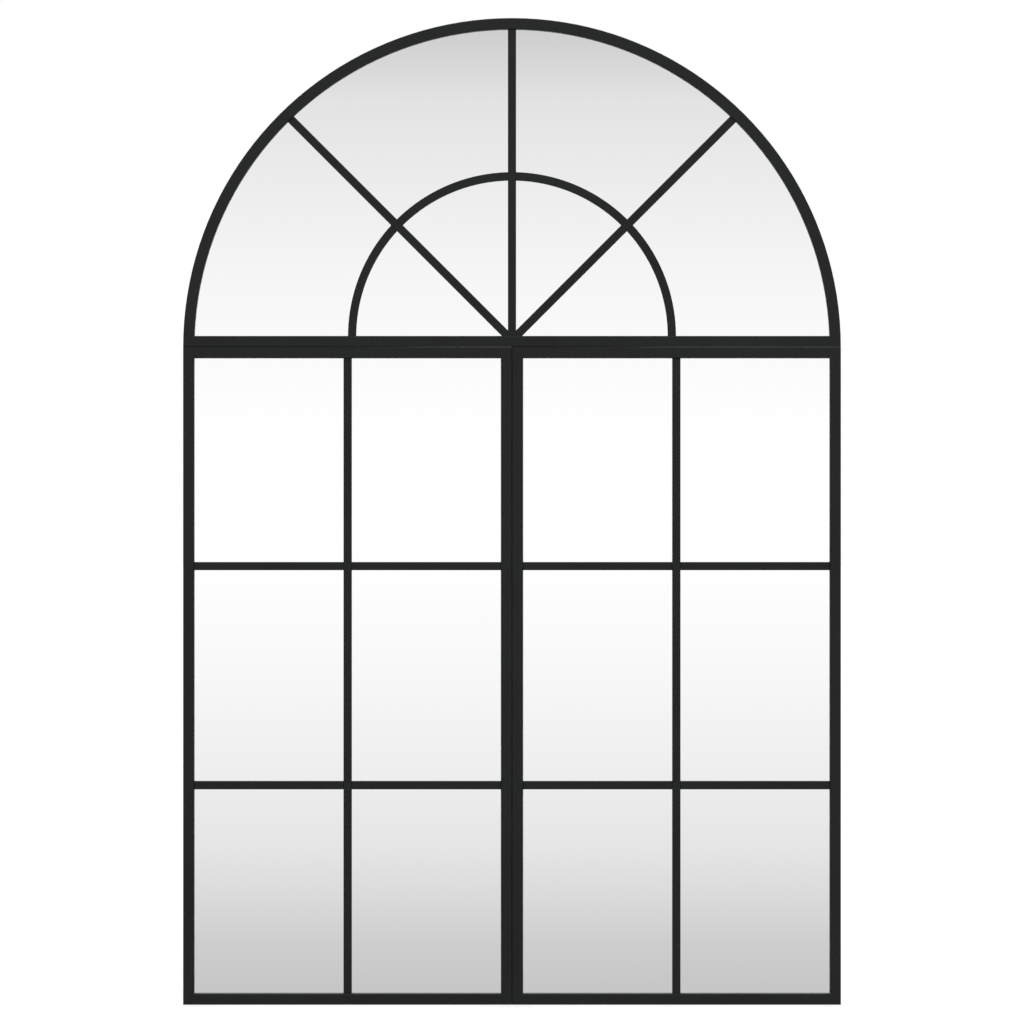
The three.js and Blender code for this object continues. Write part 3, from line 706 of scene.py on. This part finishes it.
# Each screw stops at another angle, this many degrees on from the last.
further = 37
screw_names = [name for name in parts if name.startswith("joining_screw_")]
for count, name in enumerate(sorted(screw_names)):
    low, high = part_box(name)
    seat = high.y - head_height
    place = Matrix.Translation(((low.x + high.x) / 2, seat, (low.z + high.z) / 2))
    turn = Matrix.Rotation(math.radians(further * count), 4, "Y")
    driven = copy_at(screw, f"{name}_threaded", place @ turn)
    dress(driven, zinc_plate, "mirror_frame")
    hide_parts(name)
bpy.data.objects.remove(screw)


# ---- Turn buttons ----
# Moulded nylon levers that hold the boards: a rounded lever with three finger ribs, in one with a stud that
# snaps into the tube. Nylon from a spark-eroded mould is black, half matt and finely grained.

nylon, tree, where = bare_material("moulded_black_nylon")
# The mould's grain is about 0.1 mm; it is drawn 0.4 mm. The colour flows over some 8 mm.
spark = node(tree, "ShaderNodeTexNoise", {"Scale": 1 / 0.0004, "Detail": 2}, {"Vector": where})
flow = node(tree, "ShaderNodeTexNoise", {"Scale": 1 / 0.008, "Detail": 2}, {"Vector": where})
resin = node(
    tree,
    "ShaderNodeValToRGB",
    {"stops": [(0.35, linear("#18181a")), (0.65, linear("#202022"))]},
    {"Fac": flow.outputs["Fac"]},
)
matt = node(
    tree,
    "ShaderNodeMapRange",
    {"From Min": 0.3, "From Max": 0.7, "To Min": 0.42, "To Max": 0.6},
    {"Value": spark.outputs["Fac"]},
)
eroded = node(
    tree, "ShaderNodeBump", {"Strength": 0.35, "Distance": 0.00005}, {"Height": spark.outputs["Fac"]}
)
moulded = node(
    tree,
    "ShaderNodeBsdfPrincipled",
    {"IOR": 1.53},
    {"Base Color": resin.outputs[0], "Roughness": matt.outputs[0], "Normal": eroded.outputs[0]},
)
node(tree, "ShaderNodeOutputMaterial", {}, {"Surface": moulded.outputs[0]})

pivot_radius, lever_reach, lever_thickness, lever_edge, over_board = 0.0055, 0.023, 0.0024, 0.0006, 0.0003
tip_radius = pivot_radius * 0.8
tip = lever_reach - tip_radius
bpy.ops.object.select_all(action="DESELECT")
bpy.ops.mesh.primitive_cylinder_add(
    vertices=32,
    radius=pivot_radius,
    depth=lever_thickness,
    location=(0, over_board + lever_thickness / 2, 0),
    rotation=(math.pi / 2, 0, 0),
)
lever = bpy.context.object
bpy.ops.object.transform_apply(location=True, rotation=True)
# The far half of the disc is drawn out to the tip, and made a little narrower there.
choose(lever, edges=lambda edge: all(corner.co.x > same_place for corner in edge.verts))
bpy.ops.transform.translate(value=(tip, 0, 0))
narrow = tip_radius / pivot_radius
bpy.ops.transform.resize(value=(narrow, 1, narrow), center_override=(tip, 0, 0))
choose(lever, faces=lambda face: abs(face.normal.y) > square_on)
bpy.ops.mesh.bevel(offset=lever_edge, segments=4)
bpy.ops.object.mode_set(mode="OBJECT")

lever_top = over_board + lever_thickness
rib_height, rib_width, rib_edge = 0.0006, 0.0018, 0.0003
ribs = []
for count in range(3):
    middle = tip - count * 2 * rib_width
    rib = block("rib", (middle, lever_top, 0), (rib_width, 2 * rib_height, tip_radius * 1.4))
    # A rib narrows towards its crest, so that it leaves the mould.
    choose(rib, faces=lambda face: face.normal.y > square_on)
    bpy.ops.transform.resize(value=(0.7, 1, 0.94), center_override=(middle, 0, 0))
    bpy.ops.mesh.bevel(offset=rib_edge, segments=3)
    bpy.ops.object.mode_set(mode="OBJECT")
    ribs.append(rib)

stud_radius, collar, barb_radius, tube_wall = 0.0024, 0.0009, 0.0031, 0.0012
barb = -tube_wall - over_board
stud_outline = [
    (0, over_board + lever_thickness / 2),
    (stud_radius + collar, over_board + lever_thickness / 2),
    (stud_radius + collar, over_board - 0.0001),
    (stud_radius, over_board - 0.0002),
    (stud_radius, barb),
    (barb_radius, barb),
    (barb_radius, barb - 0.0004),
    (stud_radius * 0.9, barb - 0.0022),
    (stud_radius * 0.75, barb - 0.0026),
    (0, barb - 0.0026),
]
stud = turned("stud", stud_outline, steps=32)
# A round dish over the pivot, where the mould was filled, with the gate's pip in the middle.
dish_outline = [
    (0, lever_top - 0.0002),
    (0.0006, lever_top - 0.0004),
    (0.0024, lever_top - 0.0005),
    (0.0032, lever_top - 0.0001),
    (0.0034, lever_top + 0.0005),
    (0, lever_top + 0.0005),
]
cut_out(lever, turned("dish", dish_outline, steps=32), "pivot_dish")
button = joined([lever, *ribs, stud], "turn_button")
shade(button)

# Degrees from +X towards +Z that each lever points when it is over its board.
pointing = {
    "arch_left": -40,
    "arch_crown": -90,
    "arch_right": -140,
    "left_panel_outer": 0,
    "left_panel_inner": 180,
    "left_panel_top": -90,
    "right_panel_outer": 180,
    "right_panel_inner": 0,
    "right_panel_top": -90,
}
for joint in frame["joints"]:
    name = joint["name"].removesuffix("_swivel")
    turn = Matrix.Rotation(-math.radians(pointing[name]), 4, "Y")
    snapped_in = copy_at(button, f"turn_button_{name}_ribbed", Matrix.Translation(joint["pos_m"]) @ turn)
    dress(snapped_in, nylon, joint["child"])
    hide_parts(f"turn_button_{name}")
bpy.data.objects.remove(button)


# ---- Hanger plates ----
# Steel strip, 36 by 2 mm, with a keyhole, cranked to stand off the tube so that a screw head fits behind
# it. Each is welded to the arch rail along its foot and its two sides before the frame is coated.

finish_with(powder_coat, ["hanger_plate_left", "hanger_plate_right"])

# One ripple of a weld bead is a flattened ball; a row of them, half overlapping, is the bead.
bead_radius, ripple_pitch, below_crank = 0.0012, 0.0009, 0.0025
bpy.ops.object.select_all(action="DESELECT")
bpy.ops.mesh.primitive_uv_sphere_add(segments=12, ring_count=8, radius=bead_radius, location=(0, 0, 0))
ripple = bpy.context.object
ripple.scale = (0.9, 0.75, 1)
bpy.ops.object.transform_apply(scale=True)
for side in ("left", "right"):
    low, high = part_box(f"hanger_plate_{side}")
    beads = []
    foot, shoulder = low.z, rail_top - below_crank
    runs = [
        ((low.x, foot), (high.x, foot)),
        ((low.x, foot), (low.x, shoulder)),
        ((high.x, foot), (high.x, shoulder)),
    ]
    for start, end in runs:
        length = math.dist(start, end)
        angle = math.atan2(end[1] - start[1], end[0] - start[0])
        row = copy_at(ripple, "bead", Matrix.Identity(4))
        repeat = row.modifiers.new("ripples", "ARRAY")
        repeat.count = round(length / ripple_pitch) + 1
        repeat.use_relative_offset, repeat.use_constant_offset = False, True
        repeat.constant_offset_displace = (length / (repeat.count - 1), 0, 0)
        bpy.ops.object.modifier_apply(modifier=repeat.name)
        place = Matrix.Translation((start[0], rear, start[1])) @ Matrix.Rotation(-angle, 4, "Y")
        row.matrix_world = place
        bpy.ops.object.transform_apply(location=True, rotation=True, scale=True)
        beads.append(row)
    bead = joined(beads, f"hanger_weld_{side}")
    bpy.ops.object.shade_smooth()
    dress(bead, powder_coat, "mirror_frame")
bpy.data.objects.remove(ripple)


# ---- Wall bumpers ----
# Moulded rubber feet, 15 mm across, stuck to the lower corners so that the foot of the mirror stands as far
# off the wall as its head. Rubber is dark grey, matt and a little dusty.

rubber, tree, where = bare_material("moulded_dark_rubber")
# Dust lies in patches of some 3 mm.
dust = node(tree, "ShaderNodeTexNoise", {"Scale": 1 / 0.003, "Detail": 4}, {"Vector": where})
gum = node(
    tree,
    "ShaderNodeValToRGB",
    {"stops": [(0.35, linear("#262626")), (0.7, linear("#323231"))]},
    {"Fac": dust.outputs["Fac"]},
)
grip = node(
    tree, "ShaderNodeBump", {"Strength": 0.3, "Distance": 0.0001}, {"Height": dust.outputs["Fac"]}
)
dusty = node(
    tree,
    "ShaderNodeBsdfPrincipled",
    {"Roughness": 0.85, "IOR": 1.52},
    {"Base Color": gum.outputs[0], "Normal": grip.outputs[0]},
)
node(tree, "ShaderNodeOutputMaterial", {}, {"Surface": dusty.outputs[0]})

bumper_radius, bumper_height, bumper_edge = 0.0075, 0.006, 0.0003
bumper_outline = [
    (0, bumper_height - 0.0012),
    (0.0022, bumper_height - 0.0012),
    (0.0026, bumper_height - 0.0009),
    (0.0030, bumper_height - 0.0001),
    (0.0035, bumper_height),
    (bumper_radius * 0.68, bumper_height),
    (bumper_radius * 0.8, bumper_height - 0.0003),
    (bumper_radius * 0.88, bumper_height - 0.0010),
    (bumper_radius * 0.93, bumper_height - 0.0022),
    (bumper_radius * 0.96, bumper_height - 0.0036),
    (bumper_radius * 0.975, bumper_height - 0.0042),
    (bumper_radius, bumper_height - 0.0044),
    (bumper_radius, bumper_edge),
    (bumper_radius - bumper_edge, 0),
    (0, 0),
]
bumper = turned("bumper", bumper_outline, steps=40)
shade(bumper)
for side in ("left", "right"):
    low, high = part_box(f"wall_bumper_{side}")
    place = Matrix.Translation(((low.x + high.x) / 2, low.y, (low.z + high.z) / 2))
    stuck_on = copy_at(bumper, f"wall_bumper_{side}_moulded", place)
    dress(stuck_on, rubber, "mirror_frame")
    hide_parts(f"wall_bumper_{side}")
bpy.data.objects.remove(bumper)


# ---- Studio ----
# A plain white room: pale floor, even soft light from above, before and behind. What the mirrors see of it
# is white at eye level and greyer towards the floor and up the walls. The ceiling overhead is bright, but
# only in gloss, where the edges of the frames catch it.


def grey(level):
    """An even grey of a linear level."""
    return (level, level, level, 1)


white = grey(1)
under_foot = 0.0002
bpy.ops.object.select_all(action="DESELECT")
bpy.ops.mesh.primitive_plane_add(size=80, location=(0, 0, -under_foot))
floor = bpy.context.object
floor.name = "studio_floor"
floor_paint, tree, where = bare_material("matt_white_floor")
ray = node(tree, "ShaderNodeLightPath")
matt_floor = node(tree, "ShaderNodeBsdfDiffuse", {"Color": grey(0.5)})
# Lifted to white for the camera; the object's shadow stays.
lift = node(tree, "ShaderNodeEmission", {"Color": white, "Strength": 0.46})
seen = node(tree, "ShaderNodeAddShader", {}, {0: matt_floor.outputs[0], 1: lift.outputs[0]})
# In the mirrors it is grey near the glass and white far off, by the logarithm of its distance plus one.
tone_reach = 40.0
away = node(tree, "ShaderNodeSeparateXYZ", {}, {"Vector": where})
away = node(tree, "ShaderNodeMath", {"operation": "ABSOLUTE"}, {0: away.outputs["Y"]})
away = node(tree, "ShaderNodeMath", {"operation": "ADD", 1: 1.0}, {0: away.outputs[0]})
away = node(tree, "ShaderNodeMath", {"operation": "LOGARITHM", 1: tone_reach}, {0: away.outputs[0]})
# The silver takes some of the light, so the tones that it should show are raised by this.
for_silver = 1.06
far = [
    # metres off, tone
    (0.2, 0.565),
    (0.72, 0.61),
    (1.0, 0.65),
    (1.6, 0.716),
    (2.4, 0.784),
    (4.6, 0.855),
    (9, 0.92),
    (13.5, 0.951),
    (27, 0.981),
    (39, 1.0),
]
distance_tone = node(
    tree,
    "ShaderNodeValToRGB",
    {"stops": [(math.log(metres + 1, tone_reach), grey(tone * for_silver)) for metres, tone in far]},
    {"Fac": away.outputs[0]},
)
reflected = node(tree, "ShaderNodeEmission", {}, {"Color": distance_tone.outputs[0]})
seen_or_lit = node(
    tree,
    "ShaderNodeMixShader",
    {},
    {0: ray.outputs["Is Camera Ray"], 1: matt_floor.outputs[0], 2: seen.outputs[0]},
)
floor_shown = node(
    tree,
    "ShaderNodeMixShader",
    {},
    {0: ray.outputs["Is Glossy Ray"], 1: seen_or_lit.outputs[0], 2: reflected.outputs[0]},
)
node(tree, "ShaderNodeOutputMaterial", {}, {"Surface": floor_shown.outputs[0]})
floor.data.materials.append(floor_paint)

world = bpy.data.worlds.new("white_room")
bpy.context.scene.world = world
world.use_nodes = True
tree = world.node_tree
tree.nodes.clear()
ray = node(tree, "ShaderNodeLightPath")
around = node(tree, "ShaderNodeTexCoord")
direction = node(tree, "ShaderNodeSeparateXYZ", {}, {"Vector": around.outputs["Generated"]})
# Height above or below a level just over the horizon, as the sine of an angle.
brightest = 0.0067
height = node(
    tree, "ShaderNodeMath", {"operation": "SUBTRACT", 1: brightest}, {0: direction.outputs["Z"]}
)
height = node(tree, "ShaderNodeMath", {"operation": "ABSOLUTE"}, {0: height.outputs[0]})
up = [
    # sine, tone
    (0.015, 1.0),
    (0.06, 0.924),
    (0.0727, 0.894),
    (0.1075, 0.794),
    (0.1175, 0.762),
    (0.1265, 0.69),
    (0.1487, 0.54),
    (0.3, 0.42),
    (0.55, 0.7),
    (0.8, 2.0),
    (1.0, 2.4),
]
height_tone = node(
    tree,
    "ShaderNodeValToRGB",
    {"stops": [(sine, grey(tone * for_silver)) for sine, tone in up]},
    {"Fac": height.outputs[0]},
)
lit = node(
    tree,
    "ShaderNodeMix",
    {"data_type": "RGBA", 6: grey(0.6)},
    {0: ray.outputs["Is Glossy Ray"], 7: height_tone.outputs[0]},
)
direct = node(
    tree,
    "ShaderNodeMath",
    {"operation": "MAXIMUM"},
    {0: ray.outputs["Is Camera Ray"], 1: ray.outputs["Is Transmission Ray"]},
)
all_rays = node(
    tree, "ShaderNodeMix", {"data_type": "RGBA", 7: white}, {0: direct.outputs[0], 6: lit.outputs[2]}
)
background = node(tree, "ShaderNodeBackground", {}, {"Color": all_rays.outputs[2]})
node(tree, "ShaderNodeOutputWorld", {}, {"Surface": background.outputs[0]})

# Two broad lamps, leaning towards the mirror from before and behind.
lean, breadth = 35, 50
for name, side, strength in (("front_light", -1, 1.6), ("rear_light", 1, 1.4)):
    bpy.ops.object.light_add(type="SUN", location=(0, side * 4, 6))
    lamp = bpy.context.object
    lamp.name = name
    lamp.data.energy = strength
    lamp.data.angle = math.radians(breadth)
    lamp.rotation_euler = (math.radians(-lean * side), 0, 0)


# ---- Camera ----
# Square on to the mirror from five metres, level with its middle, with a lens that takes in the whole of
# it and a narrow margin.

distance, seen_height, eye_height, sensor = 5.0, 1.5565, 0.749, 36
bpy.ops.object.camera_add(location=(0, cad_box[0].y - distance, eye_height), rotation=(math.pi / 2, 0, 0))
camera = bpy.context.object
camera.data.sensor_width = sensor
camera.data.lens = sensor * distance / seen_height
bpy.context.scene.camera = camera
bpy.context.scene.view_settings.view_transform = "Standard"
